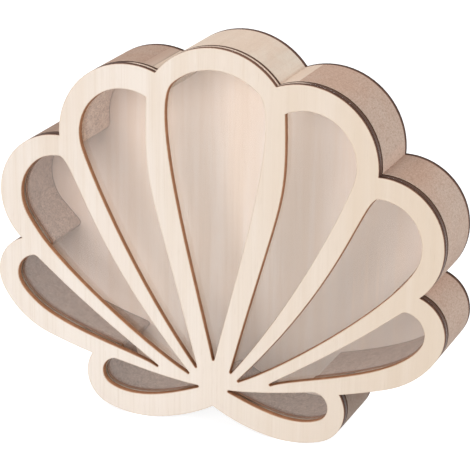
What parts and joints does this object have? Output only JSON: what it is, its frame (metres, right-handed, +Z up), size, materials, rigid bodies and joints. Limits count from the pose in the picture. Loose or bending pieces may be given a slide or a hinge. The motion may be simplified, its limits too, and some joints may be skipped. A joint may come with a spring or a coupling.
{
  "type": "seashell display case",
  "caption": "Scallop-shaped wooden display case that stands upright, with petal windows in a lift-off front over a clear pane and a deep ring of glued blocks.",
  "frame": {"origin": "middle of the case on the surface that it stands on, under the lowest lines of the two ears", "axes": "+X to the right seen from the front, the front with the windows faces -Y, +Z up"},
  "size_m": [0.2498, 0.0444, 0.2066],
  "materials": {
    "front_ply": "bare sanded plywood, faint vertical grain, scorched brown cut edges",
    "ring_ply": "bare thin plywood, scorched brown cut edges",
    "block_wood": "bare sanded wood",
    "back_ply": "bare plywood, scorched brown cut edge",
    "clear_sheet": "clear flat plastic sheet",
    "magnet": "plated disc"
  },
  "bodies": {
    "case": {"crown_block": "block_wood", "shoulder_block_left": "block_wood", "shoulder_block_right": "block_wood", "side_block_left": "block_wood", "side_block_right": "block_wood", "lower_block_left": "block_wood", "lower_block_right": "block_wood", "base_block": "block_wood", "back_panel": "back_ply", "body_magnets": "magnet"},
    "lid": {"front_panel": "front_ply", "window_pane": "clear_sheet", "lid_ring": "ring_ply", "lid_magnets": "magnet"}
  },
  "joints": [
    {"name": "lid_lift_off", "type": "slide", "parent": "case", "child": "lid", "axis": [0, -1, 0], "range_m": [0, 0.08]}
  ]
}
